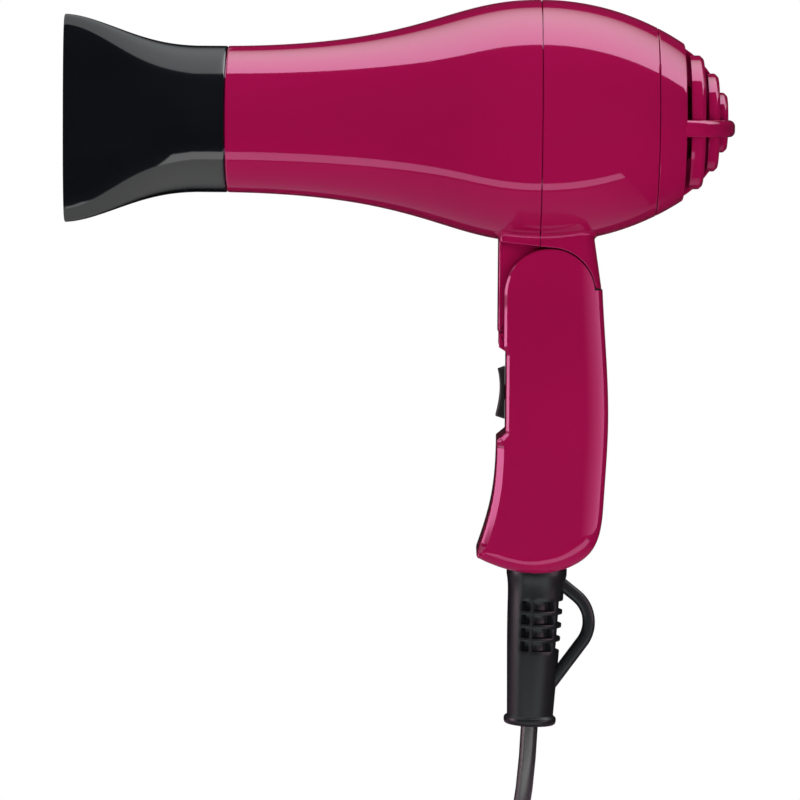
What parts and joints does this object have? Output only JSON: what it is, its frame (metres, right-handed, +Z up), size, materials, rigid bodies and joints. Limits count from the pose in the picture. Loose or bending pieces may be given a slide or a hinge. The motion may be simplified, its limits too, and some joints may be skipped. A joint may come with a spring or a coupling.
{
  "type": "folding hair dryer",
  "caption": "Folding travel hair dryer with a flared round barrel, flat concentrator nozzle, stepped-ring inlet grille, hinged handle with slide switch, hang loop and wound cord.",
  "frame": {"origin": "in the middle of the grip, straight below the hinge of the folding neck, on the handle's middle plane", "axes": "+X along the barrel from the nozzle towards the inlet grille, +Y across the handle, +Z up"},
  "size_m": [0.2209, 0.1076, 0.3291],
  "materials": {
    "body_gloss": "glossy magenta",
    "nozzle_gloss": "glossy black",
    "switch_satin": "satin black",
    "relief_satin": "satin black",
    "cord_sheath": "satin black",
    "tie_black": "satin black",
    "pin_plated": "bright plated",
    "screw_steel": "plain",
    "washer_nylon": "plain",
    "inner_black": "matte black",
    "mica": "pale brown",
    "heater_wire": "dull wire",
    "motor_steel": "plain",
    "board_green": "matte green",
    "fan_plastic": "matte black"
  },
  "bodies": {
    "handle": {"handle_left": "body_gloss", "handle_right": "body_gloss", "handle_screws": "screw_steel", "hinge_pin": "screw_steel", "hinge_washers": "washer_nylon", "switch_body": "inner_black", "cord_clamp": "inner_black", "clamp_screws": "screw_steel", "strain_relief": "relief_satin", "inner_cord": "cord_sheath", "cord_lead": "cord_sheath", "cord_coil": "cord_sheath", "cord_tail": "cord_sheath", "cord_tie": "tie_black", "plug_body": "cord_sheath", "plug_pins": "pin_plated"},
    "barrel": {"front_housing": "body_gloss", "rear_housing": "body_gloss", "inlet_grille": "body_gloss", "outlet_grille": "inner_black", "heater_sleeve": "mica", "mica_board_upright": "mica", "mica_board_level": "mica", "heater_coil": "heater_wire", "thermostat": "inner_black", "thermal_fuse": "screw_steel", "air_guide": "inner_black", "motor_can": "motor_steel", "rectifier_board": "board_green"},
    "nozzle": {"concentrator_nozzle": "nozzle_gloss"},
    "fan": {"fan_impeller": "fan_plastic", "motor_shaft": "motor_steel"},
    "switch": {"switch_button": "switch_satin"}
  },
  "joints": [
    {"name": "fold", "type": "hinge", "parent": "handle", "child": "barrel", "pos_m": [0, 0, 0.0435], "axis": [0, -1, 0], "range_deg": [0, 90]},
    {"name": "nozzle_turn", "type": "hinge", "parent": "barrel", "child": "nozzle", "pos_m": [-0.111, 0, 0.1], "axis": [1, 0, 0], "continuous": true},
    {"name": "fan_spin", "type": "hinge", "parent": "barrel", "child": "fan", "pos_m": [0.012, 0, 0.1], "axis": [1, 0, 0], "continuous": true},
    {"name": "switch_slide", "type": "slide", "parent": "handle", "child": "switch", "axis": [0, 0, 1], "range_m": [-0.0032, 0.0032]}
  ]
}
